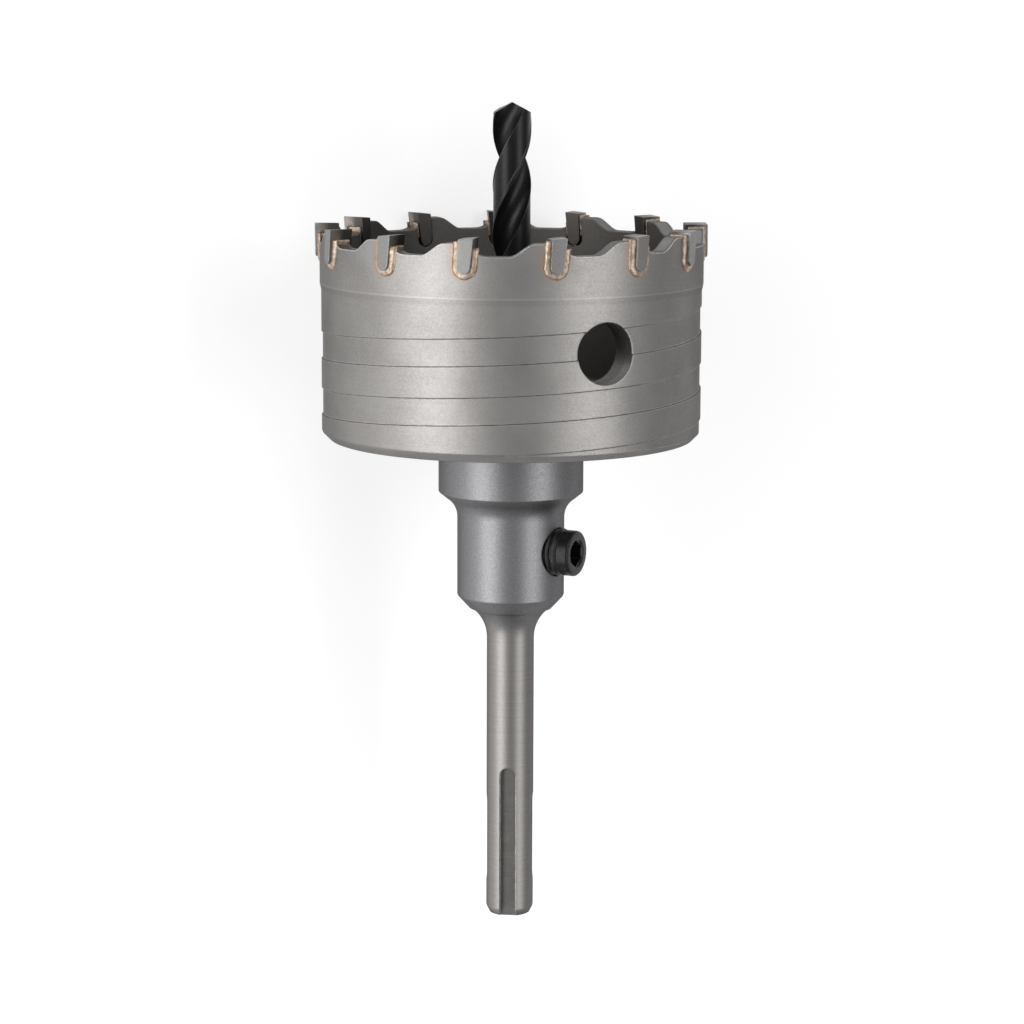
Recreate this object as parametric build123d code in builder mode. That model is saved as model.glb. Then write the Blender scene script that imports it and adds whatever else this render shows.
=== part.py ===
from math import cos, radians, sin, tan
import os

from build123d import *

os.makedirs("parts", exist_ok=True)

# The hole saw lies along +Y, in millimetres. Y = 0 is the free end face of the shank.
# A turn angle runs about the Y axis, from straight up (+Z) towards +X, the way the saw cuts.
photo_turn = -17.7  # turn angle of the side seen in the photo

# Cup
cutting_diameter = 82.0  # over the carbide tips
tip_overhang = 1.05  # of a tip beyond the rim
rim_step = 0.3  # of the rim beyond the body
cup_y = 103.0  # underside of the cup
cup_height = 43.6  # to the top of the backing behind a tip
rim_band_height = 11.0
rim_band_taper = 1.4
rim_wall = 3.2
shoulder_height = 28.8  # where the wall thickens inside, clear of the side hole
lower_wall = 6.65
base_thickness = 8.0
corner_chamfer = 1.6

# Teeth of the cup
tip_first_turn = 12.6  # from the photographed side
tip_pitches = (26.3, 24.1, 32.0, 35.1, 27.8, 26.9, 25.8, 27.6, 27.8, 27.4, 27.5, 25.5, 26.2)
gullet_depth = 2.6
gullet_ramp = 5.3
gullet_bend = 3.6  # along the rise to where it eases over
gullet_bend_height = 1.9
backing_flat = 2.0
leading_drop = 1.5  # from the backing down to the top of the ramp ahead of a tip
leading_ramp = 2.1

# Wound groove
groove_pitch = 11.8
groove_width = 5.7
groove_depth = 0.28
groove_edge = 0.2
groove_photo_height = 22.5  # middle of the groove at the photographed side
groove_top_turn = 100.0
groove_bottom_clearance = 0.6

# Side hole
side_hole_diameter = 12.6
side_hole_height = 21.5
side_hole_turn = 28.6

# Carbide tips
tip_length = 4.8  # along the radius
tip_foot_width = 2.75
tip_top_width = 3.1
tip_height = 7.3  # at the leading edge
tip_seat_depth = 6.0  # foot of the tip below the top of the backing
tip_foot_strips = 3
tip_lean = 5.0
tip_top_fall = 10.0

# Braze
braze_gap = 0.4
braze_bead_width = 0.9
braze_bead_rise = 0.7
braze_crest_width = 0.12
braze_inner_recess = 0.9

# Arbor
nose_diameter = 22.0
nose_length = 10.0
nose_clearance = 0.05
flange_diameter = 30.5
flange_height = 11.45
flange_cone_height = 1.5
flange_cone_slope = 1.25
hub_diameter = 22.6
hub_top = 15.4  # these four are measured down from the underside of the cup
hub_bottom = 33.6
hub_cone_bottom = 36.3
neck_bottom = 41.1
hub_cone_foot_diameter = 17.6
neck_diameter = 14.6
shank_diameter = 10.0
shank_end_chamfer = 0.85
shank_end_chamfer_length = 1.5
bore_clearance = 0.05
bore_floor_gap = 0.3

# Drive slots and locking grooves of the shank
slot_turn = -6.0
seam_from_slot = 52.5  # keeps the seam of the turned faces clear of slots and grooves
drive_slot_width = 3.4
drive_slot_depth = 1.6
drive_slot_length = 32.6
lock_groove_radius = 2.6
lock_groove_depth = 0.95
lock_groove_start = 6.5
lock_groove_end = 27.0

# Pilot drill
pilot_diameter = 8.0
pilot_length = 100.0
pilot_tip_height = 69.8
flute_pitch = 44.0
flute_length = 54.0
flute_radius = 3.18
flute_mouth = 115.0  # half angle over which the flute is round
flute_strips = 3
flute_steps = 13
web_thickness = 1.6
flute_waist_height = 58.4  # where the flutes face sideways in the photo
point_slope = 29.0
chisel_turn = 7.0

# Set screw
screw_diameter = 9.6
screw_hole_diameter = 10.3
screw_drop = 23.6  # below the underside of the cup
screw_turn = 62.0
screw_reach = 15.7
screw_flat_depth = 0.4
screw_hex = 5.0
screw_hex_depth = 4.5

tip_outer = cutting_diameter / 2
rim_radius = tip_outer - tip_overhang
body_radius = rim_radius - rim_step
inner_rim_radius = rim_radius - rim_wall
tip_seat_height = cup_height - tip_seat_depth
gullet_floor = cup_height - gullet_depth
shank_radius = shank_diameter / 2
hub_radius = hub_diameter / 2
pilot_radius = pilot_diameter / 2
pilot_seat = pilot_radius - screw_flat_depth
cut_far = tip_outer + 10
tip_turns = [tip_first_turn + sum(tip_pitches[:i]) for i in range(len(tip_pitches))]


# Plane that faces away from the axis at a turn angle seen from the photographed side.
# Its x runs the way the saw turns and its y runs along the tool.
def outward(turn, height, distance=0.0, lean=0.0):
    angle = radians(turn + photo_turn)
    slant = radians(lean)
    away = Vector(sin(angle), 0, cos(angle))
    ahead = Vector(cos(angle) * cos(slant), -sin(slant), -sin(angle) * cos(slant))
    origin = away * distance + Vector(0, cup_y + height, 0)
    return Plane(origin=origin, x_dir=ahead, z_dir=away)


# Plane through the axis. Its x points away from the axis at a turn angle and its y runs along it.
def through_axis(turn):
    angle = radians(turn + photo_turn)
    away = Vector(sin(angle), 0, cos(angle))
    return Plane(origin=(0, 0, 0), x_dir=away, z_dir=(-away.Z, 0, away.X))


# Points along an arc from one angle to another, for a round drawn in straight strips
def arc_points(centre, radius, start, end, strips):
    angles = [radians(start + (end - start) * i / strips) for i in range(strips + 1)]
    return [(centre[0] + radius * cos(a), centre[1] + radius * sin(a)) for a in angles]


# Solid through rings of points, joined by flat facets
def faceted(rings):
    facets = [rings[0], rings[-1]]
    for low, high in zip(rings, rings[1:]):
        for i in range(len(low)):
            facets.append([low[i - 1], low[i], high[i]])
            facets.append([low[i - 1], high[i], high[i - 1]])
    return Solid(Shell([Face(Wire.make_polygon(corners)) for corners in facets]))


# Outline of a tip seen along the radius, foot at the origin. A margin widens it all round.
def tip_outline(margin=0.0):
    foot = tip_foot_width / 2
    head = tip_top_width / 2
    trailing_height = tip_height - tip_top_width * tan(radians(tip_top_fall))
    with BuildSketch() as outline:
        with BuildLine():
            Polyline(
                *arc_points((0, foot), foot, 180, 360, tip_foot_strips),
                (head, tip_height),
                (-head, trailing_height),
                close=True,
            )
        make_face()
        if margin:
            offset(amount=margin, kind=Kind.INTERSECTION)
    return outline.sketch


tip_face = tip_outline()
slot_face = tip_outline(braze_gap)


# Saw cup
with BuildPart() as saw_cup:
    floor_y = cup_y + base_thickness
    top_y = cup_y + cup_height
    band_y = top_y - rim_band_height
    shoulder_y = cup_y + shoulder_height
    lower_radius = body_radius - lower_wall
    hole_radius = nose_diameter / 2 + nose_clearance
    with BuildSketch(Plane.XY):
        with BuildLine():
            Polyline(
                (hole_radius, cup_y),
                (body_radius - corner_chamfer, cup_y),
                (body_radius, cup_y + corner_chamfer),
                (body_radius, band_y - rim_band_taper),
                (rim_radius, band_y),
                (rim_radius, top_y),
                (inner_rim_radius, top_y),
                (inner_rim_radius, shoulder_y),
                (lower_radius, shoulder_y),
                (lower_radius, floor_y),
                (hole_radius, floor_y),
                close=True,
            )
        make_face()
    revolve(axis=Axis.Y)

    # Wound groove, from below the cup up to its end behind
    groove_start = -groove_width / 2 - groove_bottom_clearance
    groove_start_turn = (groove_start - groove_photo_height) / groove_pitch * 360
    groove_climb = (groove_top_turn - groove_start_turn) / 360 * groove_pitch
    start_angle = radians(groove_start_turn + photo_turn)
    winding = Plane(
        origin=(0, cup_y + groove_start, 0),
        x_dir=(sin(start_angle), 0, cos(start_angle)),
        z_dir=(0, 1, 0),
    )
    with BuildLine() as groove_path:
        add(winding * Helix(groove_pitch, groove_climb, body_radius, mode=Mode.PRIVATE))
    groove_plane = Plane(
        origin=groove_path.line @ 0, x_dir=winding.x_dir, z_dir=groove_path.line % 0
    )
    half_floor = groove_width / 2 - groove_edge
    half_mouth = groove_width / 2 + groove_edge
    with BuildSketch(groove_plane):
        with BuildLine():
            Polyline(
                (-groove_depth, -half_floor),
                (-groove_depth, half_floor),
                (groove_depth, half_mouth),
                (groove_depth, -half_mouth),
                close=True,
            )
        make_face()
    sweep(path=groove_path.line, is_frenet=True, mode=Mode.SUBTRACT)

    # Gullet between each tip and the backing of the next
    for turn, pitch in zip(tip_turns, tip_pitches):
        reach = rim_radius * sin(radians(pitch / 2))
        slot_half = tip_top_width / 2 + braze_gap
        ramp_top = cup_height - leading_drop
        ramp_start = slot_half - reach
        rise_end = reach - slot_half - backing_flat
        rise_start = rise_end - gullet_ramp
        with BuildSketch(outward(turn + pitch / 2, 0)):
            with BuildLine():
                Polyline(
                    (-reach, cup_height + tip_height),
                    (-reach, ramp_top),
                    (ramp_start, ramp_top),
                    (ramp_start + leading_ramp, gullet_floor),
                    (rise_start, gullet_floor),
                    (rise_start + gullet_bend, gullet_floor + gullet_bend_height),
                    (rise_end, cup_height),
                    (rise_end, cup_height + tip_height),
                    close=True,
                )
            make_face()
        extrude(amount=cut_far, mode=Mode.SUBTRACT)

    # Slot for each tip
    for turn in tip_turns:
        with BuildSketch(outward(turn, tip_seat_height, 0, tip_lean)):
            add(slot_face)
        extrude(amount=cut_far, mode=Mode.SUBTRACT)

    # Side hole
    with BuildSketch(outward(side_hole_turn, side_hole_height)):
        Circle(side_hole_diameter / 2)
    extrude(amount=cut_far, mode=Mode.SUBTRACT)
saw_cup.part.label = "saw_cup"
export_step(saw_cup.part, "parts/saw_cup.step")

# Carbide tips, each in its slot and proud of the rim on both sides
for number, turn in enumerate(tip_turns, start=1):
    name = f"carbide_tip_{number:02d}"
    with BuildPart() as carbide_tip:
        with BuildSketch(outward(turn, tip_seat_height, tip_outer, tip_lean)):
            add(tip_face)
        extrude(amount=-tip_length)
    carbide_tip.part.label = name
    export_step(carbide_tip.part, f"parts/{name}.step")

# Braze that fills each slot around its tip and stands up as a bead outside the rim
for number, turn in enumerate(tip_turns, start=1):
    name = f"braze_joint_{number:02d}"
    with BuildPart() as braze_joint:
        bead_crest = rim_radius + braze_bead_rise
        bead = []
        for distance, margin in ((rim_radius, braze_bead_width), (bead_crest, braze_crest_width)):
            seat = outward(turn, tip_seat_height, distance, tip_lean)
            corners = tip_outline(margin).faces()[0].outer_wire().order_edges()
            bead.append([seat.from_local_coords(edge @ 0) for edge in corners])
        add(faceted(bead))
        inner_end = inner_rim_radius + braze_inner_recess
        with BuildSketch(outward(turn, tip_seat_height, inner_end, tip_lean)):
            add(slot_face)
        extrude(amount=rim_radius - inner_end)
        with BuildSketch(outward(turn, tip_seat_height, 0, tip_lean)):
            add(tip_face)
        extrude(amount=cut_far, mode=Mode.SUBTRACT)
        with BuildSketch(outward(turn, cup_height)):
            Rectangle(tip_height, tip_height, align=(Align.CENTER, Align.MIN))
        extrude(amount=cut_far, mode=Mode.SUBTRACT)
        with BuildSketch(outward(turn, cup_height - leading_drop)):
            Rectangle(tip_height, tip_height, align=(Align.MIN, Align.MIN))
        extrude(amount=cut_far, mode=Mode.SUBTRACT)
    braze_joint.part.label = name
    export_step(braze_joint.part, f"parts/{name}.step")

# Arbor
with BuildPart() as arbor:
    flange_radius = flange_diameter / 2
    cone_radius = flange_radius - flange_cone_height * flange_cone_slope
    cone_y = cup_y - flange_height - flange_cone_height
    end_radius = shank_radius - shank_end_chamfer
    nose_radius = nose_diameter / 2
    with BuildSketch(through_axis(slot_turn + seam_from_slot)):
        with BuildLine():
            Polyline(
                (0, 0),
                (end_radius, 0),
                (shank_radius, shank_end_chamfer_length),
                (shank_radius, cup_y - neck_bottom),
                (neck_diameter / 2, cup_y - hub_cone_bottom),
                (hub_cone_foot_diameter / 2, cup_y - hub_cone_bottom),
                (hub_radius, cup_y - hub_bottom),
                (hub_radius, cup_y - hub_top),
                (cone_radius, cone_y),
                (flange_radius, cup_y - flange_height),
                (flange_radius, cup_y),
                (nose_radius, cup_y),
                (nose_radius, cup_y + nose_length),
                (0, cup_y + nose_length),
                close=True,
            )
        make_face()
    revolve(axis=Axis.Y)

    # Bore for the pilot drill
    bore_y = cup_y + pilot_tip_height - pilot_length - bore_floor_gap
    with BuildSketch(Plane.XZ.offset(-bore_y)):
        Circle(pilot_radius + bore_clearance)
    extrude(amount=bore_y - cup_y - nose_length, mode=Mode.SUBTRACT)

    # Hole for the set screw
    with BuildSketch(outward(screw_turn, -screw_drop)):
        Circle(screw_hole_diameter / 2)
    extrude(amount=hub_diameter, mode=Mode.SUBTRACT)

    # Two drive slots, open at the end of the shank
    slot_floor = shank_radius - drive_slot_depth
    for turn in (slot_turn, slot_turn + 180):
        with BuildSketch(outward(turn, -cup_y, slot_floor)):
            with Locations((0, drive_slot_length / 2 - drive_slot_width / 2)):
                SlotOverall(
                    drive_slot_length + drive_slot_width, drive_slot_width, rotation=90
                )
        extrude(amount=shank_radius, mode=Mode.SUBTRACT)

    # Two closed grooves for the locking balls, a quarter turn from the slots
    groove_centre = shank_radius - lock_groove_depth + lock_groove_radius
    for turn in (slot_turn + 90, slot_turn + 270):
        with BuildSketch(outward(turn, -cup_y, groove_centre)):
            with BuildLine():
                Polyline(
                    (0, lock_groove_start),
                    (0, lock_groove_end),
                    (lock_groove_radius, lock_groove_end - lock_groove_radius),
                    (lock_groove_radius, lock_groove_start + lock_groove_radius),
                    close=True,
                )
            make_face()
        groove_line = Axis(outward(turn, -cup_y, groove_centre).origin, (0, 1, 0))
        revolve(axis=groove_line, mode=Mode.SUBTRACT)
arbor.part.label = "arbor"
export_step(arbor.part, "parts/arbor.step")

# Body of one flute, as rings of points that turn as they climb, joined by flat facets
def flute(first_turn):
    flute_start_height = pilot_tip_height - flute_length
    flute_centre = web_thickness / 2 + flute_radius
    start = first_turn + 90 - (flute_waist_height - flute_start_height) / flute_pitch * 360
    profile = arc_points(
        (flute_centre, 0), flute_radius, 180 - flute_mouth, 180 + flute_mouth, flute_strips
    )
    profile += [(pilot_diameter, profile[-1][1]), (pilot_diameter, profile[0][1])]
    rings = []
    for step in range(flute_steps + 1):
        climb = flute_length * step / flute_steps
        angle = radians(start + photo_turn + climb / flute_pitch * 360)
        rings.append(
            [
                Vector(
                    away * sin(angle) + ahead * cos(angle),
                    cup_y + flute_start_height + climb,
                    away * cos(angle) - ahead * sin(angle),
                )
                for away, ahead in profile
            ]
        )
    return faceted(rings)


# Pilot drill
with BuildPart() as pilot_drill:
    pilot_tip_y = cup_y + pilot_tip_height
    pilot_end_y = pilot_tip_y - pilot_length
    with BuildSketch(Plane.XZ.offset(-pilot_end_y)):
        Circle(pilot_radius)
    extrude(amount=-pilot_length)
    # Flat under the set screw
    with BuildSketch(outward(screw_turn, -screw_drop, pilot_seat)):
        Rectangle(pilot_diameter, screw_diameter)
    extrude(amount=pilot_radius, mode=Mode.SUBTRACT)
    # Two flutes, wound the way of a right-hand screw
    for turn in (0, 180):
        add(flute(turn), mode=Mode.SUBTRACT)
    # Two ground flanks that meet in the chisel edge
    flank_drop = pilot_diameter * tan(radians(point_slope))
    with BuildSketch(outward(chisel_turn, pilot_tip_height, -pilot_diameter)):
        for side in (1, -1):
            with BuildLine():
                Polyline(
                    (0, 0),
                    (side * pilot_diameter, -flank_drop),
                    (side * pilot_diameter, flank_drop),
                    (0, flank_drop),
                    close=True,
                )
            make_face()
    extrude(amount=2 * pilot_diameter, mode=Mode.SUBTRACT)
pilot_drill.part.label = "pilot_drill"
export_step(pilot_drill.part, "parts/pilot_drill.step")

# Set screw
with BuildPart() as set_screw:
    screw_radius = screw_diameter / 2
    with BuildSketch(outward(screw_turn, -screw_drop, pilot_seat)):
        Circle(screw_radius)
    extrude(amount=screw_reach - pilot_seat)
    with BuildSketch(outward(screw_turn, -screw_drop, screw_reach)):
        RegularPolygon(screw_hex / 2, 6, major_radius=False)
    extrude(amount=-screw_hex_depth, mode=Mode.SUBTRACT)
set_screw.part.label = "set_screw"
export_step(set_screw.part, "parts/set_screw.step")
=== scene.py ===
import math

import bpy
from mathutils import Matrix, Vector


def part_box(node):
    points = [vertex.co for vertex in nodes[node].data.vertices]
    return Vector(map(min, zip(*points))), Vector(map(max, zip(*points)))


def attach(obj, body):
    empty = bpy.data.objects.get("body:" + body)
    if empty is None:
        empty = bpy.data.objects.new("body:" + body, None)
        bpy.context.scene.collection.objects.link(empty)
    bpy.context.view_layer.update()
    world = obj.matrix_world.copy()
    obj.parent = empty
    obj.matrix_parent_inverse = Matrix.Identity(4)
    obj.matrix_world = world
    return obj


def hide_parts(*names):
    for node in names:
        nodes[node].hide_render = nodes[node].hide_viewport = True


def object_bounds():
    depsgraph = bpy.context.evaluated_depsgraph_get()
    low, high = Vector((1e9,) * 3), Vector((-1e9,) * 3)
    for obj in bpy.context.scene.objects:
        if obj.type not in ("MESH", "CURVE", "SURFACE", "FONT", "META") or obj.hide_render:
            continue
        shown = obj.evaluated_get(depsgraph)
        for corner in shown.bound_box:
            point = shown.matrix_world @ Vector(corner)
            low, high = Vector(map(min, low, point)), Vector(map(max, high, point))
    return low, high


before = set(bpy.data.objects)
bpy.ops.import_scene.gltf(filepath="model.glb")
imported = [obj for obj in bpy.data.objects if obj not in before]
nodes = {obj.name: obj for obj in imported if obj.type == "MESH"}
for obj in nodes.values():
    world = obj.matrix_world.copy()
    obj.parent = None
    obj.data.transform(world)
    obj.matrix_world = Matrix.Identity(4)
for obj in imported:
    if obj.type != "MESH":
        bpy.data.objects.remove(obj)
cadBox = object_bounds()
scene = bpy.context.scene
print("frame loaded:", len(nodes), "nodes")

# the tool lies along +Y; a turn angle runs from straight up towards +X
photoTurn = -17.7
tipNames = sorted(name for name in nodes if name.startswith("carbide_tip"))
brazeNames = sorted(name for name in nodes if name.startswith("braze_joint"))
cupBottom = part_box("saw_cup")[0][1]
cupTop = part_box("saw_cup")[1][1]


def awayFromAxis(turn):
    angle = math.radians(turn + photoTurn)
    return Vector((math.sin(angle), 0, math.cos(angle)))


# modelling helpers

def selectOnly(piece):
    bpy.ops.object.select_all(action="DESELECT")
    piece.select_set(True)
    bpy.context.view_layer.objects.active = piece


def editAll(piece):
    selectOnly(piece)
    bpy.ops.object.mode_set(mode="EDIT")
    bpy.ops.mesh.select_all(action="SELECT")


def closeEdit(piece):
    bpy.ops.mesh.select_all(action="SELECT")
    bpy.ops.mesh.remove_doubles(threshold=0.000001)
    bpy.ops.mesh.normals_make_consistent(inside=False)
    bpy.ops.object.mode_set(mode="OBJECT")
    return piece


def drawLine(name, points, close=True, fill=False):  # a corner extruded from point to point, in mm
    places = [Vector(point) * 0.001 for point in points]
    bpy.ops.object.select_all(action="DESELECT")
    bpy.ops.mesh.primitive_plane_add(size=0.001)
    piece = bpy.context.object
    piece.name = name
    piece.data.name = name
    bpy.ops.object.mode_set(mode="EDIT")
    bpy.ops.mesh.select_all(action="SELECT")
    bpy.ops.mesh.merge(type="CENTER")
    bpy.ops.transform.translate(value=places[0])
    for first, second in zip(places, places[1:]):
        bpy.ops.mesh.extrude_region_move(TRANSFORM_OT_translate={"value": second - first})
    bpy.ops.mesh.select_all(action="SELECT")
    if close:
        bpy.ops.mesh.edge_face_add()
        if not fill:
            bpy.ops.mesh.delete(type="ONLY_FACE")
    bpy.ops.object.mode_set(mode="OBJECT")
    return piece


def drawBar(name, outline, low, high):  # outline of x and y, pulled along z
    piece = drawLine(name, [(x, y, low) for x, y in outline], fill=True)
    editAll(piece)
    bpy.ops.mesh.extrude_region_move(TRANSFORM_OT_translate={"value": (0, 0, (high - low) * 0.001)})
    return closeEdit(piece)


def spinProfile(name, profile, steps, close, axis="Y"):  # profile of radius and height
    if axis == "Y":
        points = [(0, height, radius) for radius, height in profile]
    else:
        points = [(0, radius, height) for radius, height in profile]
    piece = drawLine(name, points, close=close)
    editAll(piece)
    along = (0, 1, 0) if axis == "Y" else (0, 0, 1)
    bpy.ops.mesh.spin(steps=steps, angle=2 * math.pi, center=(0, 0, 0), axis=along)
    return closeEdit(piece)


def windUp(piece, turns, climb, rounds, steps):  # closed line wound about the tool's axis, its ends filled
    selectOnly(piece)
    screw = piece.modifiers.new("wind", "SCREW")
    screw.axis = "Y"
    screw.angle = turns * 2 * math.pi / rounds
    screw.screw_offset = climb * 0.001 / rounds
    screw.iterations = rounds
    screw.steps = screw.render_steps = steps
    screw.use_smooth_shade = False
    bpy.ops.object.modifier_apply(modifier=screw.name)
    editAll(piece)
    bpy.ops.mesh.remove_doubles(threshold=0.000001)
    bpy.ops.mesh.select_all(action="SELECT")
    bpy.ops.mesh.fill_holes(sides=0)
    return closeEdit(piece)


def arcPoints(centre, radius, first, last, count):
    angles = [math.radians(first + (last - first) * i / count) for i in range(count + 1)]
    return [(centre[0] + radius * math.cos(a), centre[1] + radius * math.sin(a)) for a in angles]


def facing(turn, height, lean=0.0):  # x ahead, y up the tool, z away from its axis
    angle = math.radians(turn + photoTurn)
    slant = math.radians(lean)
    away = Vector((math.sin(angle), 0, math.cos(angle)))
    flat = math.cos(slant)
    ahead = Vector((math.cos(angle) * flat, -math.sin(slant), -math.sin(angle) * flat))
    turned = Matrix((ahead, away.cross(ahead), away)).transposed().to_4x4()
    return Matrix.Translation((0, cupBottom + height * 0.001, 0)) @ turned


def putAt(piece, matrix):  # the place goes into the mesh
    piece.data.transform(matrix)
    return piece


def copyAt(template, name, matrix):
    piece = bpy.data.objects.new(name, template.data.copy())
    piece.data.name = name
    scene.collection.objects.link(piece)
    return putAt(piece, matrix)


def roundBar(name, turn, height, radius, low, high, corners=72):
    bpy.ops.object.select_all(action="DESELECT")
    bpy.ops.mesh.primitive_cylinder_add(vertices=corners, radius=radius * 0.001, depth=(high - low) * 0.001)
    piece = bpy.context.object
    piece.name = name
    piece.data.transform(Matrix.Translation((0, 0, (high + low) * 0.0005)))
    return putAt(piece, facing(turn, height))


def combine(piece, others, operation="DIFFERENCE"):
    bench = bpy.data.collections.new("bench")
    scene.collection.children.link(bench)
    for other in others:
        for owner in list(other.users_collection):
            owner.objects.unlink(other)
        bench.objects.link(other)
    selectOnly(piece)
    shape = piece.modifiers.new("shape", "BOOLEAN")
    shape.operation = operation
    shape.solver = "EXACT"
    shape.operand_type = "COLLECTION"
    shape.collection = bench
    bpy.ops.object.modifier_apply(modifier=shape.name)
    for other in others:
        bpy.data.objects.remove(other)
    bpy.data.collections.remove(bench)
    return piece


def softenEdges(piece, width, segments=2, angle=35.0):
    selectOnly(piece)
    bevel = piece.modifiers.new("soften", "BEVEL")
    bevel.width = width * 0.001
    bevel.segments = segments
    bevel.limit_method = "ANGLE"
    bevel.angle_limit = math.radians(angle)
    bpy.ops.object.modifier_apply(modifier=bevel.name)
    return piece


def finishPiece(piece, material, slot, *replaced, angle=30.0):
    selectOnly(piece)
    bpy.ops.object.shade_smooth_by_angle(angle=math.radians(angle))
    flatten = piece.modifiers.new("flatten", "WEIGHTED_NORMAL")
    flatten.keep_sharp = True
    bpy.ops.object.modifier_apply(modifier=flatten.name)
    piece.data.materials.clear()
    piece.data.materials.append(material)
    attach(piece, "root")
    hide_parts(*replaced)


# node helpers

def newTree(name):
    material = bpy.data.materials.new(name)
    material.use_nodes = True
    tree = material.node_tree
    shader = tree.nodes["Principled BSDF"]
    return material, tree, shader


def addNode(tree, kind, settings=None, **inputs):
    node = tree.nodes.new(kind)
    for key, value in (settings or {}).items():
        setattr(node, key, value)
    for key, value in inputs.items():
        socket = node.inputs[key.replace("_", " ")]
        if isinstance(value, bpy.types.NodeSocket):
            tree.links.new(value, socket)
        else:
            socket.default_value = value
    return node


def mathOf(tree, operation, first, second):
    node = tree.nodes.new("ShaderNodeMath")
    node.operation = operation
    for index, value in enumerate((first, second)):
        if isinstance(value, bpy.types.NodeSocket):
            tree.links.new(value, node.inputs[index])
        else:
            node.inputs[index].default_value = value
    return node.outputs[0]


def times(tree, product, *factors):
    for factor in factors:
        product = mathOf(tree, "MULTIPLY", product, factor)
    return product


def shareOf(tree, first, second, share):  # this share of the first and the rest of the second
    return mathOf(tree, "ADD", times(tree, first, share), times(tree, second, 1 - share))


def mixColour(tree, factor, first, second):
    node = tree.nodes.new("ShaderNodeMix")
    node.data_type = "RGBA"
    for index, value in ((0, factor), (6, first), (7, second)):
        if isinstance(value, bpy.types.NodeSocket):
            tree.links.new(value, node.inputs[index])
        elif index:
            node.inputs[index].default_value = (*value, 1)
        else:
            node.inputs[index].default_value = value
    return node.outputs[2]


def rangeOf(tree, value, low, high, newLow=0.0, newHigh=1.0, smooth=False):
    node = addNode(tree, "ShaderNodeMapRange", Value=value)
    node.interpolation_type = "SMOOTHSTEP" if smooth else "LINEAR"
    for index, limit in enumerate((low, high, newLow, newHigh), start=1):
        node.inputs[index].default_value = limit
    return node.outputs[0]


def bandOf(tree, value, rise, fall):
    return times(tree, rangeOf(tree, value, *rise), rangeOf(tree, value, *fall, 1.0, 0.0))


def newGroup(name, inputs, outputs):
    group = bpy.data.node_groups.new(name, "ShaderNodeTree")
    for label, kind, value in inputs:
        socket = group.interface.new_socket(name=label, in_out="INPUT", socket_type=kind)
        if value is not None:
            socket.default_value = value
    for label, kind in outputs:
        group.interface.new_socket(name=label, in_out="OUTPUT", socket_type=kind)
    return group, group.nodes.new("NodeGroupInput"), group.nodes.new("NodeGroupOutput")


def useGroup(tree, group, **inputs):
    node = tree.nodes.new("ShaderNodeGroup")
    node.node_tree = group
    for key, value in inputs.items():
        socket = node.inputs[key.replace("_", " ")]
        if isinstance(value, bpy.types.NodeSocket):
            tree.links.new(value, socket)
        else:
            socket.default_value = value
    return node


# teeth of the cup, in millimetres and degrees

teeth = {
    "firstTurn": 12.6,
    "pitches": (26.3, 24.1, 32.0, 35.1, 27.8, 26.9, 25.8, 27.6, 27.8, 27.4, 27.5, 25.5, 26.2),
    "seat": 37.6,  # foot of a tip above the underside of the cup
    "lean": 5.0,
    "footWidth": 2.75,
    "topWidth": 3.1,
    "height": 7.3,
    "topFall": 10.0,
    "outer": 41.0,
    "length": 4.8,
    "edge": 0.12,
    "slotGap": 0.4,
}
tipTurns = [teeth["firstTurn"] + sum(teeth["pitches"][:i]) for i in range(len(teeth["pitches"]))]


# shared effects, each a node group

heat = {  # metres and degrees
    "footMiddle": 0.0391,  # middle of a tip's round foot, from the underside of the cup
    "wallRadius": 0.0399,
    "turnBack": 0.5,
    "reach": (0.0023, 0.0036),
}
turning = {
    "stretch": (28, 5200, 28),  # long round the axis, short along it
    "wideScale": 0.23,
    "fineShare": 0.6,
    "toneRange": (0.3, 0.7),
}
blasting = {
    "roughness": 0.65,
    "toneRange": (0.32, 0.68),
    "blotchScale": 95.0,
    "blotchRange": (0.35, 0.65),
}
rubbing = {
    "samples": 6,
    "bendRange": (0.015, 0.10),
    "patchScale": 700.0,
    "patchRange": (0.35, 0.6),
    "leastWear": 0.35,
}


def makeHeatTint():  # how near the foot of a tip, along the wall
    group, into, out = newGroup(
        "heat tint",
        [("Position", "NodeSocketVector", None)],
        [("Mask", "NodeSocketFloat")],
    )
    footMiddle = cupBottom + heat["footMiddle"]
    below = addNode(group, "ShaderNodeVectorMath", {"operation": "MINIMUM"})
    group.links.new(into.outputs["Position"], below.inputs[0])
    below.inputs[1].default_value = (1, footMiddle, 1)  # above the round foot only the side counts
    nearest = 1.0
    for turn in tipTurns:
        gap = addNode(group, "ShaderNodeVectorMath", {"operation": "DISTANCE"})
        group.links.new(below.outputs[0], gap.inputs[0])
        spot = awayFromAxis(turn - heat["turnBack"]) * heat["wallRadius"]
        gap.inputs[1].default_value = spot + Vector((0, footMiddle, 0))
        nearest = mathOf(group, "MINIMUM", gap.outputs["Value"], nearest)
    mask = rangeOf(group, nearest, *heat["reach"], 1.0, 0.0, smooth=True)
    group.links.new(mask, out.inputs["Mask"])
    return group


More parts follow.
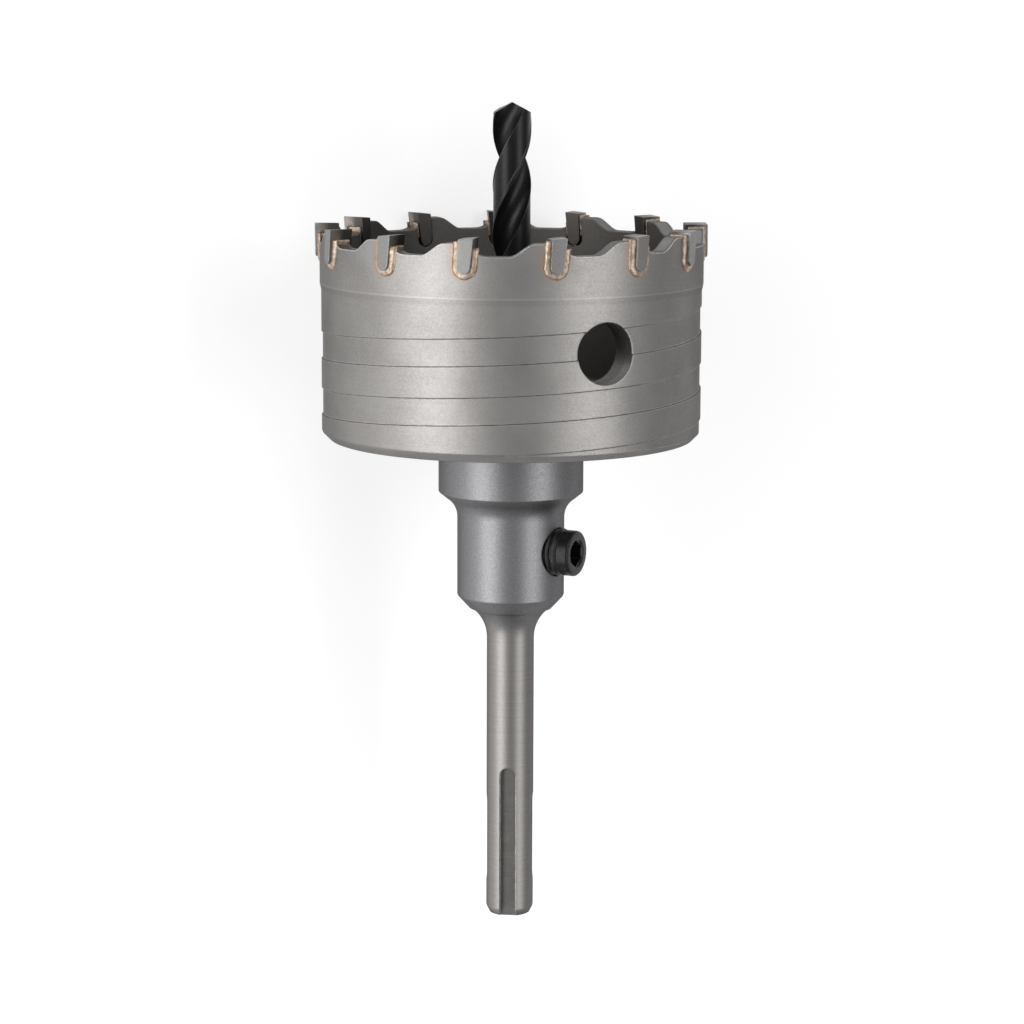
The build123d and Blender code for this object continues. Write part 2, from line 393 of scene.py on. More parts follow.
def makeTurnedLines():
    group, into, out = newGroup(
        "turned lines",
        [("Position", "NodeSocketVector", None), ("Fineness", "NodeSocketFloat", 1.0)],
        [("Tone", "NodeSocketFloat"), ("Height", "NodeSocketFloat")],
    )
    stretched = addNode(group, "ShaderNodeVectorMath", {"operation": "MULTIPLY"})
    group.links.new(into.outputs["Position"], stretched.inputs[0])
    stretched.inputs[1].default_value = turning["stretch"]
    scaled = addNode(group, "ShaderNodeVectorMath", {"operation": "SCALE"})
    group.links.new(stretched.outputs[0], scaled.inputs[0])
    group.links.new(into.outputs["Fineness"], scaled.inputs["Scale"])
    fine = addNode(group, "ShaderNodeTexNoise", Vector=scaled.outputs[0], Scale=1.0, Detail=3.0)
    wide = addNode(group, "ShaderNodeTexNoise", Vector=scaled.outputs[0],
                   Scale=turning["wideScale"], Detail=2.0)
    both = shareOf(group, fine.outputs[0], wide.outputs[0], turning["fineShare"])
    group.links.new(rangeOf(group, both, *turning["toneRange"]), out.inputs["Tone"])
    group.links.new(fine.outputs[0], out.inputs["Height"])
    return group


def makeGrain():
    group, into, out = newGroup(
        "blasted grain",
        [("Position", "NodeSocketVector", None), ("Size", "NodeSocketFloat", 2400.0)],
        [("Tone", "NodeSocketFloat"), ("Height", "NodeSocketFloat"), ("Blotch", "NodeSocketFloat")],
    )
    position = into.outputs["Position"]
    grain = addNode(group, "ShaderNodeTexNoise", Vector=position, Scale=into.outputs["Size"],
                    Detail=4.0, Roughness=blasting["roughness"])
    blotch = addNode(group, "ShaderNodeTexNoise", Vector=position,
                     Scale=blasting["blotchScale"], Detail=3.0)
    group.links.new(rangeOf(group, grain.outputs[0], *blasting["toneRange"]), out.inputs["Tone"])
    group.links.new(grain.outputs[0], out.inputs["Height"])
    group.links.new(rangeOf(group, blotch.outputs[0], *blasting["blotchRange"]), out.inputs["Blotch"])
    return group


def makeEdgeWear():
    group, into, out = newGroup(
        "edge wear",
        [("Position", "NodeSocketVector", None), ("Radius", "NodeSocketFloat", 0.0003)],
        [("Mask", "NodeSocketFloat"), ("Rounded", "NodeSocketVector")],
    )
    rounded = addNode(group, "ShaderNodeBevel", {"samples": rubbing["samples"]},
                      Radius=into.outputs["Radius"])
    surface = addNode(group, "ShaderNodeNewGeometry")
    agree = addNode(group, "ShaderNodeVectorMath", {"operation": "DOT_PRODUCT"})
    group.links.new(rounded.outputs[0], agree.inputs[0])
    group.links.new(surface.outputs["Normal"], agree.inputs[1])
    bend = mathOf(group, "SUBTRACT", 1.0, agree.outputs["Value"])
    patchy = addNode(group, "ShaderNodeTexNoise", Vector=into.outputs["Position"],
                     Scale=rubbing["patchScale"], Detail=2.0)
    rubbed = rangeOf(group, patchy.outputs[0], *rubbing["patchRange"], rubbing["leastWear"], 1.0)
    worn = times(group, rangeOf(group, bend, *rubbing["bendRange"]), rubbed)
    group.links.new(worn, out.inputs["Mask"])
    group.links.new(rounded.outputs[0], out.inputs["Rounded"])
    return group


def makeAxisDistance():
    group, into, out = newGroup(
        "distance from axis",
        [("Position", "NodeSocketVector", None)],
        [("Radius", "NodeSocketFloat"), ("Along", "NodeSocketFloat")],
    )
    parts = addNode(group, "ShaderNodeSeparateXYZ", Vector=into.outputs["Position"])
    x, y, z = parts.outputs
    squares = mathOf(group, "ADD", times(group, x, x), times(group, z, z))
    group.links.new(mathOf(group, "SQRT", squares, 0.0), out.inputs["Radius"])
    group.links.new(y, out.inputs["Along"])
    return group


heatTint = makeHeatTint()
turnedLines = makeTurnedLines()
blastedGrain = makeGrain()
edgeWear = makeEdgeWear()
axisDistance = makeAxisDistance()
print("shader groups ready")


def startMetal(name, look):  # shader with the grain and the edge wear of one look
    material, tree, shader = newTree(name)
    position = addNode(tree, "ShaderNodeTexCoord").outputs["Object"]
    grain = useGroup(tree, blastedGrain, Position=position, Size=look["grainSize"])
    wear = useGroup(tree, edgeWear, Position=position, Radius=look["wearSize"])
    glancing = look.get("glancing", 1.0)  # how much a glancing view still mirrors
    shader.inputs["Metallic"].default_value = look.get("metallic", 1.0)
    shader.inputs["Specular IOR Level"].default_value = look.get("specular", 0.5)
    shader.inputs["Specular Tint"].default_value = (glancing, glancing, glancing, 1)
    return material, tree, shader, position, grain, wear


def bumpOf(tree, height, depth, normal):
    bump = addNode(tree, "ShaderNodeBump", Strength=1.0, Distance=depth, Height=height, Normal=normal)
    return bump.outputs[0]


def finishMetal(tree, shader, colour, rough, normal):
    tree.links.new(colour, shader.inputs["Base Color"])
    tree.links.new(rough, shader.inputs["Roughness"])
    tree.links.new(normal, shader.inputs["Normal"])


# cup: shape in millimetres and degrees, look in metres

wall = {
    "holeRadius": 11.05,
    "bodyRadius": 39.65,
    "rimRadius": 39.95,
    "innerRim": 36.75,
    "innerLower": 33.0,
    "height": 43.6,
    "bandHeight": 11.0,
    "bandTaper": 1.4,
    "shoulder": 28.8,
    "shoulderStep": 0.6,
    "shoulderEdge": 0.3,
    "base": 8.0,
    "baseHollow": 1.2,
    "corner": 1.6,
    "cornerEdge": (0.35, 0.12),
    "rimEdge": 0.12,
    "steps": 240,
    "gulletDepth": 2.6,
    "rise": 5.3,
    "riseSteps": 12,
    "backing": 2.0,
    "leadingDrop": 1.5,
    "leadingCurve": ((0.9, 0.48), (1.7, 0.16), (2.4, 0.03), (3.1, 0.0)),  # from the slot, from the floor
    "holeDiameter": 12.6,
    "holeHeight": 21.5,
    "holeTurn": 28.6,
    "cutFrom": 20,  # cutters reach from inside the wall to beyond it
    "cutTo": 50,
    "cutTop": 52,
    "slotTop": 4,
}
cup = {
    "colour": (0.275, 0.265, 0.256),
    "darkColour": (0.20, 0.192, 0.185),
    "wornColour": (0.66, 0.645, 0.63),
    "edgeColour": (0.84, 0.825, 0.81),
    "paintedShadeColour": (0.105, 0.096, 0.088),
    "heatColour": (0.33, 0.245, 0.19),
    "glancing": 0.3,
    "roughRange": (0.53, 0.42),
    "fineness": 1.0,
    "lineShare": 0.22,
    "lineDepth": 0.000012,
    "grainSize": 2600.0,
    "grainDepth": 0.000016,
    "blotch": (0.05, 0.14),
    "heatShare": 0.6,
    "shadeBandRise": (0.1342, 0.1345),  # painted shade band on the taper under the rim band, along the axis
    "shadeBandFall": (0.1354, 0.1356),
    "shadeBandShare": 0.13,
    # painted highlight line at the crest of the taper, in the worn colour
    "crest": 0.1357,
    "crestHalf": 0.00016,
    "highlightShare": 0.12,
    "wearSize": 0.00045,
    "wearRise": (0.1322, 0.1342),
    "wearShare": (0.4, 0.95),  # below the rim band, and on it
    "grooveRise": (0.03939, 0.03945),  # painted shade in the groove: its sides, from the axis
    "grooveFall": (0.03958, 0.03964),
    "grooveAbove": (0.0017, 0.0021),
    "grooveShadeShare": 0.78,
    # painted shade inside the cup, less of it on the bored wall of the knockout hole
    "insideShadeFall": (0.0367, 0.0371),
    "insideShadeAbove": (0.004, 0.006),
    "insideShadeShare": 0.85,
    "insideRougher": 0.2,
    "boreMiddle": 0.0355,
    "boreReach": (0.0068, 0.0074),
    "boreShadeShare": 0.35,
}


def makeCupSteel():
    material, tree, shader, position, grain, wear = startMetal("cup steel", cup)
    lines = useGroup(tree, turnedLines, Position=position, Fineness=cup["fineness"])
    tint = useGroup(tree, heatTint, Position=position)
    place = useGroup(tree, axisDistance, Position=position)
    radius, along = place.outputs["Radius"], place.outputs["Along"]
    tone = shareOf(tree, lines.outputs["Tone"], grain.outputs["Tone"], cup["lineShare"])
    outside = mixColour(tree, tone, cup["darkColour"], cup["colour"])
    blotch = rangeOf(tree, grain.outputs["Blotch"], 0, 1, *cup["blotch"])
    outside = mixColour(tree, blotch, outside, cup["wornColour"])
    heated = times(tree, tint.outputs["Mask"], cup["heatShare"])
    outside = mixColour(tree, heated, outside, cup["heatColour"])
    # painted shade band on the taper under the rim band, then a painted highlight line at its crest
    shadeBand = bandOf(tree, along, cup["shadeBandRise"], cup["shadeBandFall"])
    outside = mixColour(tree, times(tree, shadeBand, cup["shadeBandShare"]), outside, cup["paintedShadeColour"])
    crest = addNode(tree, "ShaderNodeMath", {"operation": "COMPARE"})
    tree.links.new(along, crest.inputs[0])
    crest.inputs[1].default_value = cup["crest"]
    crest.inputs[2].default_value = cup["crestHalf"]
    outside = mixColour(tree, times(tree, crest.outputs[0], cup["highlightShare"]), outside, cup["wornColour"])
    worn = times(tree, wear.outputs["Mask"], rangeOf(tree, along, *cup["wearRise"], *cup["wearShare"]))
    outside = mixColour(tree, worn, outside, cup["edgeColour"])
    # painted shade in the groove
    low, high = cup["grooveAbove"]
    groove = times(tree, bandOf(tree, radius, cup["grooveRise"], cup["grooveFall"]),
                   rangeOf(tree, along, cupBottom + low, cupBottom + high))
    outside = mixColour(tree, times(tree, groove, cup["grooveShadeShare"]), outside, cup["paintedShadeColour"])
    # painted shade inside the cup, weaker near the knockout hole so that its bored wall reads as lit
    low, high = cup["insideShadeAbove"]
    inside = times(tree, rangeOf(tree, radius, *cup["insideShadeFall"], 1.0, 0.0),
                   rangeOf(tree, along, cupBottom + low, cupBottom + high))
    bored = addNode(tree, "ShaderNodeVectorMath", {"operation": "DISTANCE"})
    tree.links.new(position, bored.inputs[0])
    holeHeight = Vector((0, cupBottom + wall["holeHeight"] * 0.001, 0))
    bored.inputs[1].default_value = awayFromAxis(wall["holeTurn"]) * cup["boreMiddle"] + holeHeight
    bore = rangeOf(tree, bored.outputs["Value"], *cup["boreReach"], cup["boreShadeShare"], 1.0)
    inside = times(tree, inside, bore)
    colour = mixColour(tree, times(tree, inside, cup["insideShadeShare"]), outside, cup["paintedShadeColour"])
    rough = mathOf(tree, "ADD", rangeOf(tree, tone, 0, 1, *cup["roughRange"]),
                   times(tree, inside, cup["insideRougher"]))
    normal = bumpOf(tree, lines.outputs["Height"], cup["lineDepth"], wear.outputs["Rounded"])
    normal = bumpOf(tree, grain.outputs["Height"], cup["grainDepth"], normal)
    finishMetal(tree, shader, colour, rough, normal)
    return material


# arbor: blasted hub, brushed shank

arbor = {
    "hubColour": (0.255, 0.255, 0.262),
    "hubDark": (0.18, 0.18, 0.186),
    "shankColour": (0.29, 0.279, 0.268),
    "shankDark": (0.21, 0.202, 0.194),
    "wornColour": (0.52, 0.51, 0.50),
    "slotShadeColour": (0.07, 0.066, 0.062),
    "glancing": 0.3,
    "roughRange": (0.52, 0.43),
    "fineness": 1.6,
    "lineShare": 0.6,
    "lineDepth": 0.000008,
    "grainSize": 3200.0,
    "grainDepth": 0.00002,
    "wearSize": 0.0003,
    "wearShare": 0.6,
    "hubRise": (0.0615, 0.0655),  # along the axis
    # painted shade in the slots of the shank: inside this radius, below this height
    "slotRadius": (0.0044, 0.0048),
    "slotEnd": (0.034, 0.0345),
    "slotShadeScale": 420.0,
    "slotShadeRange": (0.3, 0.65),
    "slotShade": (0.34, 0.5),
}


def makeArborSteel():
    material, tree, shader, position, grain, wear = startMetal("arbor steel", arbor)
    lines = useGroup(tree, turnedLines, Position=position, Fineness=arbor["fineness"])
    place = useGroup(tree, axisDistance, Position=position)
    radius, along = place.outputs["Radius"], place.outputs["Along"]
    hub = mixColour(tree, grain.outputs["Tone"], arbor["hubDark"], arbor["hubColour"])
    tone = shareOf(tree, lines.outputs["Tone"], grain.outputs["Tone"], arbor["lineShare"])
    shank = mixColour(tree, tone, arbor["shankDark"], arbor["shankColour"])
    colour = mixColour(tree, rangeOf(tree, along, *arbor["hubRise"]), shank, hub)
    # painted shade in the slot floors of the shank, patchy by noise
    cutIn = times(tree, rangeOf(tree, radius, *arbor["slotRadius"], 1.0, 0.0),
                  rangeOf(tree, along, *arbor["slotEnd"], 1.0, 0.0))
    slotShadeNoise = addNode(tree, "ShaderNodeTexNoise", Vector=position, Scale=arbor["slotShadeScale"], Detail=3.0)
    slotShade = times(tree, cutIn, rangeOf(tree, slotShadeNoise.outputs[0], *arbor["slotShadeRange"], *arbor["slotShade"]))
    colour = mixColour(tree, slotShade, colour, arbor["slotShadeColour"])
    worn = times(tree, wear.outputs["Mask"], arbor["wearShare"])
    colour = mixColour(tree, worn, colour, arbor["wornColour"])
    rough = rangeOf(tree, grain.outputs["Tone"], 0, 1, *arbor["roughRange"])
    normal = bumpOf(tree, lines.outputs["Height"], arbor["lineDepth"], wear.outputs["Rounded"])
    normal = bumpOf(tree, grain.outputs["Height"], arbor["grainDepth"], normal)
    finishMetal(tree, shader, colour, rough, normal)
    return material


# carbide tips and braze

tips = {
    "colour": (0.275, 0.268, 0.26),
    "darkColour": (0.185, 0.18, 0.175),
    "wornColour": (0.6, 0.6, 0.6),
    "brazeColour": (0.36, 0.25, 0.17),
    "innerShadeColour": (0.060, 0.053, 0.047),
    "roughRange": (0.47, 0.37),
    "grainSize": 4200.0,
    "grainDepth": 0.00001,
    "wearSize": 0.00015,
    "wearShare": 0.5,
    "innerShadeFall": (0.038, 0.0402),  # painted shade, dark towards the inside of the cup
    "innerShadeShare": 0.9,
    "creptRise": (0.0385, 0.0392),  # braze that crept up the sides, where the wall meets the tip
    "creptFall": (0.0400, 0.0406),
    "creptTop": (-0.001, 0.0006),
    "creptScale": 900.0,
    "creptRange": (0.42, 0.58),
}
braze = {
    "colour": (0.49, 0.40, 0.33),
    "shadeColour": (0.32, 0.245, 0.18),
    "roughRange": (0.58, 0.45),
    "grainSize": 1500.0,
    "wearSize": 0.0003,
    "patchScale": 800.0,
    "patchRange": (0.4, 0.62),
    "lumpDepth": 0.00012,
}


def makeCarbide():
    material, tree, shader, position, grain, wear = startMetal("carbide", tips)
    place = useGroup(tree, axisDistance, Position=position)
    radius, along = place.outputs["Radius"], place.outputs["Along"]
    colour = mixColour(tree, grain.outputs["Tone"], tips["darkColour"], tips["colour"])
    worn = times(tree, wear.outputs["Mask"], tips["wearShare"])
    colour = mixColour(tree, worn, colour, tips["wornColour"])
    # painted shade on the tips' faces towards the inside of the cup
    inner = rangeOf(tree, radius, *tips["innerShadeFall"], 1.0, 0.0)
    colour = mixColour(tree, times(tree, inner, tips["innerShadeShare"]), colour, tips["innerShadeColour"])
    low, high = tips["creptTop"]
    patches = addNode(tree, "ShaderNodeTexNoise", Vector=position, Scale=tips["creptScale"], Detail=3.0)
    crept = times(tree, bandOf(tree, radius, tips["creptRise"], tips["creptFall"]),
                  rangeOf(tree, along, cupTop + low, cupTop + high, 1.0, 0.0),
                  rangeOf(tree, patches.outputs[0], *tips["creptRange"]))
    colour = mixColour(tree, crept, colour, tips["brazeColour"])
    rough = rangeOf(tree, grain.outputs["Tone"], 0, 1, *tips["roughRange"])
    normal = bumpOf(tree, grain.outputs["Height"], tips["grainDepth"], wear.outputs["Rounded"])
    finishMetal(tree, shader, colour, rough, normal)
    return material


def makeBraze():
    material, tree, shader, position, grain, wear = startMetal("braze", braze)
    patches = addNode(tree, "ShaderNodeTexNoise", Vector=position, Scale=braze["patchScale"], Detail=3.0)
    shade = rangeOf(tree, patches.outputs[0], *braze["patchRange"])
    colour = mixColour(tree, shade, braze["colour"], braze["shadeColour"])
    rough = rangeOf(tree, grain.outputs["Tone"], 0, 1, *braze["roughRange"])
    normal = bumpOf(tree, patches.outputs[0], braze["lumpDepth"], wear.outputs["Rounded"])
    finishMetal(tree, shader, colour, rough, normal)
    return material


# black steel of the pilot drill and the set screw

black = {
    "colour": (0.004, 0.004, 0.0045),
    "greyColour": (0.012, 0.012, 0.013),
    "wornColour": (0.17, 0.17, 0.175),
    "metallic": 0.3,
    "specular": 0.3,
    "roughRange": (0.42, 0.29),
    "grainSize": 3000.0,
    "grainDepth": 0.00001,
    "wearSize": 0.00018,
    "wearShare": 0.75,
}


def makeBlackSteel():
    material, tree, shader, position, grain, wear = startMetal("black steel", black)
    colour = mixColour(tree, grain.outputs["Tone"], black["colour"], black["greyColour"])
    worn = times(tree, wear.outputs["Mask"], black["wearShare"])
    colour = mixColour(tree, worn, colour, black["wornColour"])
    rough = rangeOf(tree, grain.outputs["Tone"], 0, 1, *black["roughRange"])
    normal = bumpOf(tree, grain.outputs["Height"], black["grainDepth"], wear.outputs["Rounded"])
    finishMetal(tree, shader, colour, rough, normal)
    return material


def giveMaterial(name, material):
    piece = nodes[name]
    piece.data.materials.clear()
    piece.data.materials.append(material)


cupSteel = makeCupSteel()
arborSteel = makeArborSteel()
carbide = makeCarbide()
brazeMetal = makeBraze()
blackSteel = makeBlackSteel()
for name in nodes:
    giveMaterial(name, {"saw_cup": cupSteel, "arbor": arborSteel}.get(name, blackSteel))
for name in tipNames:
    giveMaterial(name, carbide)
for name in brazeNames:
    giveMaterial(name, brazeMetal)
print("materials given")


# teeth: round-footed carbide tips, each in a slot of its own

def tipOutline(margin=0.0, top=0.0):
    foot = teeth["footWidth"] / 2
    head = teeth["topWidth"] / 2 + margin
    trailing = teeth["height"] - teeth["topWidth"] * math.tan(math.radians(teeth["topFall"]))
    return arcPoints((0, foot), foot + margin, 180, 360, 14) + [
        (head, teeth["height"] + top), (-head, trailing + top)]


def makeTips():
    template = drawBar("tip", tipOutline(), teeth["outer"] - teeth["length"], teeth["outer"])
    softenEdges(template, teeth["edge"])
    for number, turn in enumerate(tipTurns, start=1):
        tip = copyAt(template, "tip%02d" % number, facing(turn, teeth["seat"], teeth["lean"]))
        finishPiece(tip, carbide, "carbide", "carbide_tip_%02d" % number, angle=40)
    bpy.data.objects.remove(template)


makeTips()
print("tips ready")


# braze beads, run in molten

bead = {
    "wall": 39.95,  # radius of the rim
    "sink": 0.35,
    "rise": 0.48,
    "width": 1.25,
    "edgeRound": 0.8,
    "edgeSteps": 4,
    "inner": 37.65,
    "innerWall": 36.7,
    "sideFrom": 1.9,
    "sideSlack": 0.05,
    "sideFlare": 0.1,
    "backing": 6.4,  # top of the bead above the foot, behind the tip and ahead of it
    "ahead": 4.95,
    "cutHalf": 8,  # box that trims the top of the bead
    "cutTop": 16,
    "cutFrom": 30,
    "cutTo": 50,
    "voxel": 0.14,
    "lumpSize": 1.1,
    "lumpDepth": 0.3,
}


def makeBeads():
    low, high = bead["wall"] - bead["sink"], bead["wall"] + bead["rise"]
    template = drawBar("bead", tipOutline(bead["width"]), low, high)
    editAll(template)
    bpy.ops.mesh.select_mode(type="FACE")
    bpy.ops.mesh.select_all(action="DESELECT")
    bpy.ops.object.mode_set(mode="OBJECT")
    for face in template.data.polygons:
        face.select = face.normal.z > 0.9
    bpy.ops.object.mode_set(mode="EDIT")
    bpy.ops.mesh.bevel(offset=bead["edgeRound"] * 0.001, segments=bead["edgeSteps"])
    bpy.ops.mesh.select_mode(type="VERT")
    closeEdit(template)
    filler = drawBar("filler", tipOutline(teeth["slotGap"]), bead["inner"], bead["wall"])
    side = teeth["footWidth"] / 2 + teeth["slotGap"] + bead["sideSlack"]
    flare = side + bead["sideFlare"]
    half, top, start = bead["cutHalf"], bead["cutTop"], bead["sideFrom"]
    beside = drawBar("beside", [(-side, start), (side, start), (flare, half), (-flare, half)],
                     bead["innerWall"], bead["wall"])
    combine(template, [filler, beside], "UNION")
    slant = Matrix.Rotation(math.radians(teeth["lean"]), 4, "Z")
    backing, ahead = bead["backing"], bead["ahead"]
    above = drawBar("above", [(-half, backing), (half, backing), (half, top), (-half, top)],
                    bead["cutFrom"], bead["cutTo"])
    front = drawBar("front", [(0, ahead), (half, ahead), (half, top), (0, top)],
                    bead["cutFrom"], bead["cutTo"])
    combine(template, [putAt(above, slant), putAt(front, slant)])
    selectOnly(template)
    remesh = template.modifiers.new("melt", "REMESH")
    remesh.mode = "VOXEL"
    remesh.voxel_size = bead["voxel"] * 0.001
    bpy.ops.object.modifier_apply(modifier=remesh.name)
    settle = template.modifiers.new("settle", "SMOOTH")
    settle.factor = 0.5
    settle.iterations = 3
    bpy.ops.object.modifier_apply(modifier=settle.name)
    lumps = bpy.data.textures.new("braze lumps", "CLOUDS")
    lumps.noise_scale = bead["lumpSize"] * 0.001
    for number, turn in enumerate(tipTurns, start=1):
        piece = copyAt(template, "bead%02d" % number, facing(turn, teeth["seat"], teeth["lean"]))
        selectOnly(piece)
        flow = piece.modifiers.new("flow", "DISPLACE")
        flow.texture = lumps
        flow.texture_coords = "LOCAL"
        flow.strength = bead["lumpDepth"] * 0.001
        bpy.ops.object.modifier_apply(modifier=flow.name)
        finishPiece(piece, brazeMetal, "braze", "braze_joint_%02d" % number, angle=60)
    bpy.data.objects.remove(template)


makeBeads()
print("braze ready")


# cup body

winding = {
    "pitch": 11.8,
    "width": 5.7,
    "depth": 0.28,
    "edge": 0.2,
    "photoHeight": 22.5,  # middle of the groove at the photographed side
    "topTurn": 100.0,
    "below": 0.6,
    "rounds": 5,
    "steps": 72,
}


def gulletOutline(pitch):
    reach = wall["rimRadius"] * math.sin(math.radians(pitch / 2))
    half = teeth["topWidth"] / 2 + teeth["slotGap"]
    floor = wall["height"] - wall["gulletDepth"]
    step = wall["height"] - wall["leadingDrop"]
    top = wall["cutTop"]
    ahead = half - reach
    behind = reach - half - wall["backing"]
    ramp = [(ahead, step)] + [(ahead + out, floor + up) for out, up in wall["leadingCurve"]]
    curve = []
    for i in range(wall["riseSteps"] + 1):
        part = i / wall["riseSteps"]
        eased = part * part * (3 - 2 * part)
        curve.append((behind - wall["rise"] * (1 - part), floor + wall["gulletDepth"] * eased))
    return [(-reach, top), (-reach, step)] + ramp + curve + [(behind, top)]


def makeGroove():
    start = -winding["width"] / 2 - winding["below"]
    startTurn = (start - winding["photoHeight"]) / winding["pitch"] * 360
    turns = (winding["topTurn"] - startTurn) / 360
    floorHalf = winding["width"] / 2 - winding["edge"]
    mouthHalf = winding["width"] / 2 + winding["edge"]
    deep, proud = wall["bodyRadius"] - winding["depth"], wall["bodyRadius"] + winding["depth"]
    corners = [(deep, start - floorHalf), (deep, start + floorHalf),
               (proud, start + mouthHalf), (proud, start - mouthHalf)]
    groove = drawLine("groove", [(0, height, radius) for radius, height in corners])
    windUp(groove, turns, turns * winding["pitch"], winding["rounds"], winding["steps"])
    turned = Matrix.Rotation(math.radians(startTurn + photoTurn), 4, "Y")
    return putAt(groove, Matrix.Translation((0, cupBottom, 0)) @ turned)


def makeCup():
    outer, rim, inside, lower = wall["bodyRadius"], wall["rimRadius"], wall["innerRim"], wall["innerLower"]
    height, shoulder, corner, edge = wall["height"], wall["shoulder"], wall["corner"], wall["rimEdge"]
    far, near = wall["cornerEdge"]
    step, blunt, hollowed = wall["shoulderStep"], wall["shoulderEdge"], wall["baseHollow"]
    band = height - wall["bandHeight"]
    profile = [
        (wall["holeRadius"], 0.0), (outer - corner - far, 0.0), (outer - corner, near),
        (outer - near, corner), (outer, corner + far), (outer, band - wall["bandTaper"]), (rim, band),
        (rim, height - edge), (rim - edge, height), (inside + edge, height), (inside, height - edge),
        (inside, shoulder + step), (inside - step, shoulder),
        (lower + blunt, shoulder), (lower, shoulder - blunt)]
    profile += arcPoints((lower - hollowed, wall["base"] + hollowed), hollowed, 360, 270, 5)
    profile += [(wall["holeRadius"], wall["base"])]
    body = spinProfile("cup", profile, wall["steps"], True)
    putAt(body, Matrix.Translation((0, cupBottom, 0)))
    cutters = [makeGroove()]
    low, high = wall["cutFrom"], wall["cutTo"]
    for turn, pitch in zip(tipTurns, teeth["pitches"]):
        gullet = drawBar("gullet", gulletOutline(pitch), low, high)
        cutters.append(putAt(gullet, facing(turn + pitch / 2, 0)))
        slot = drawBar("slot", tipOutline(teeth["slotGap"], wall["slotTop"]), low, high)
        cutters.append(putAt(slot, facing(turn, teeth["seat"], teeth["lean"])))
    hole = roundBar("knockout", wall["holeTurn"], wall["holeHeight"], wall["holeDiameter"] / 2, low, high)
    cutters.append(hole)
    combine(body, cutters)
    finishPiece(body, cupSteel, "cup_steel", "saw_cup")


makeCup()
print("cup ready")


# arbor body

stem = {  # heights are from the underside of the cup
    "noseRadius": 11.0,
    "noseTop": 10.0,
    "noseRelief": 0.5,
    "reliefHeights": (8.3, 8.7, 9.1),
    "noseChamfer": 0.8,
    "flangeRadius": 15.25,
    "flangeBottom": -11.45,
    "flangeFoot": ((0.12, -0.1), (0.0, 0.15)),  # in from the side, up from the bottom
    "flangeEdge": 0.2,
    "coneRadius": 13.375,
    "coneBottom": -12.95,
    "hubRadius": 11.3,
    "hubTop": -16.9,
    "hubBottom": -33.6,
    "hubFoot": ((0.2, -0.2), (0.0, 0.25)),
    "footRadius": 8.8,
    "footBottom": -36.3,
    "neckRadius": 7.9,
    "neckTop": -36.7,
    "neckBottom": -42.9,
    "shankRadius": 5.0,
    "end": -103.0,
    "endChamfer": ((1.0, 0.0), (0.72, 0.12), (0.1, 1.35), (0.0, 1.8)),
    "steps": 160,
    "boreRadius": 4.05,
    "boreFloor": -30.5,
    "boreSteps": 64,
    "screwTurn": 62.0,
    "screwHeight": -23.6,
    "screwHole": 5.15,
    "slotTurn": -6.0,
    "slotWidth": 3.4,
    "slotFloor": 3.4,
    "slotTop": 32.6,
    "slotOpen": 3,
    "lockRadius": 2.6,
    "lockDepth": 0.95,
    "lockSpan": (6.5, 27.0),
    "lockSteps": 40,
    "cutOut": 20,
    "cutPast": 8,
}


def hollow(radius, straight, corner, count):  # leaves a straight side and ends at a corner
    out, up = corner[0] - radius, corner[1] - straight
    size = (out * out + up * up) / (2 * out)
    centre = (radius + size, straight)
    last = math.degrees(math.atan2(corner[1] - centre[1], corner[0] - centre[0]))
    return arcPoints(centre, size, 180, last, count)


def makeArbor():
    end, shank, hub, flange = stem["end"], stem["shankRadius"], stem["hubRadius"], stem["flangeRadius"]
    nose, edge = stem["noseRadius"], stem["flangeEdge"]
    low, middle, high = stem["reliefHeights"]
    profile = [(0.0, end)] + [(shank - inward, end + up) for inward, up in stem["endChamfer"]]
    profile += hollow(shank, stem["neckBottom"], (stem["neckRadius"], stem["neckTop"]), 12)
    profile += [(stem["footRadius"], stem["footBottom"])]
    profile += [(hub - inward, stem["hubBottom"] + up) for inward, up in stem["hubFoot"]]
    profile += hollow(hub, stem["hubTop"], (stem["coneRadius"], stem["coneBottom"]), 10)
    profile += [(flange - inward, stem["flangeBottom"] + up) for inward, up in stem["flangeFoot"]]
    profile += [(flange, -edge), (flange - edge, 0.0), (nose, 0.0), (nose, low),
                (nose - stem["noseRelief"], middle), (nose, high),
                (nose - stem["noseChamfer"], stem["noseTop"]), (0.0, stem["noseTop"])]
    body = spinProfile("arborBody", profile, stem["steps"], False)
    putAt(body, Matrix.Translation((0, cupBottom, 0)))
    radius, floor, out = stem["boreRadius"], stem["boreFloor"], stem["cutOut"]
    corners = [(0.0, floor), (radius, floor), (radius, out), (0.0, out)]
    bore = spinProfile("bore", corners, stem["boreSteps"], False)
    cutters = [putAt(bore, Matrix.Translation((0, cupBottom, 0)))]
    cutters.append(roundBar("screwHole", stem["screwTurn"], stem["screwHeight"], stem["screwHole"], 0, out))
    half, opening = stem["slotWidth"] / 2, -stem["slotOpen"]
    driveSlot = [(-half, opening), (half, opening)]
    driveSlot += arcPoints((0, stem["slotTop"] - half), half, 0, 180, 16)
    centre = stem["shankRadius"] - stem["lockDepth"] + stem["lockRadius"]
    low, high = stem["lockSpan"]
    reach = stem["lockRadius"]
    ball = arcPoints((0, low + reach), reach, 270, 360, 8) + arcPoints((0, high - reach), reach, 0, 90, 8)
    for side in (0, 180):
        slot = drawBar("driveSlot", driveSlot, stem["slotFloor"], stem["cutPast"])
        cutters.append(putAt(slot, facing(stem["slotTurn"] + side, end)))
        lock = spinProfile("lock", ball, stem["lockSteps"], False)
        away = awayFromAxis(stem["slotTurn"] + 90 + side) * (centre * 0.001)
        cutters.append(putAt(lock, Matrix.Translation(away)))
    combine(body, cutters)
    finishPiece(body, arborSteel, "arbor_steel", "arbor")


makeArbor()
print("arbor ready")


# pilot drill, one section wound up to the point

